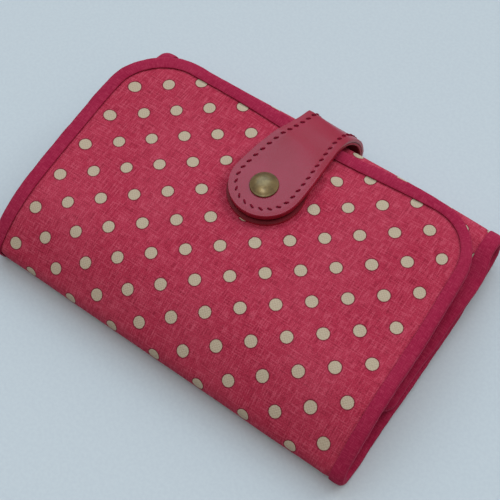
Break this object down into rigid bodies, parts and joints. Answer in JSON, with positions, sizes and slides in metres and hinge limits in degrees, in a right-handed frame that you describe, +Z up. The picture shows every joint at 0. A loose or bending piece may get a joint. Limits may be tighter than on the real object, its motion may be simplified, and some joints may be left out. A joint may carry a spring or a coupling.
{
  "type": "wallet",
  "caption": "Padded linen wallet that folds in three, with bound edges, inner pockets and a leather tab that closes over the front flap with a snap.",
  "frame": {"origin": "middle of the back panel's underside, on the surface that the wallet lies on", "axes": "+X along the folds, +Y from the lower fold to the top fold, +Z up through the front flap"},
  "size_m": [0.144, 0.1056, 0.0286],
  "materials": {
    "linen": "woven raspberry linen with small pale dots",
    "wadding": "soft ivory felt",
    "lining": "plain dark rose cotton",
    "binding": "plain crimson cotton tape",
    "pocket_cloth": "plain rose cotton",
    "leather": "smooth burgundy leather, soft sheen",
    "backing_leather": "matt burgundy leather with painted edges",
    "brass": "aged brass with a darker rim"
  },
  "bodies": {
    "case": {"back_cover": "linen", "back_wadding": "wadding", "back_lining": "lining", "back_binding": "binding", "note_pocket": "pocket_cloth", "tab_root": "leather"},
    "front_flap": {"flap_cover": "linen", "flap_wadding": "wadding", "flap_lining": "lining", "flap_binding": "binding", "card_pocket_1": "pocket_cloth", "card_pocket_2": "pocket_cloth", "card_pocket_3": "pocket_cloth", "stud_patch": "backing_leather", "snap_stud": "brass", "stud_washer": "brass"},
    "tab": {"tab_leather": "leather", "tab_backing": "backing_leather", "snap_cap": "brass", "snap_socket": "brass"}
  },
  "joints": [
    {"name": "front_flap_hinge", "type": "hinge", "parent": "case", "child": "front_flap", "pos_m": [0, -0.04945, 0.0065], "axis": [1, 0, 0], "range_deg": [0, 155]},
    {"name": "tab_hinge", "type": "hinge", "parent": "case", "child": "tab", "pos_m": [0, 0.056, 0.0051], "axis": [-1, 0, 0], "range_deg": [0, 110]}
  ]
}
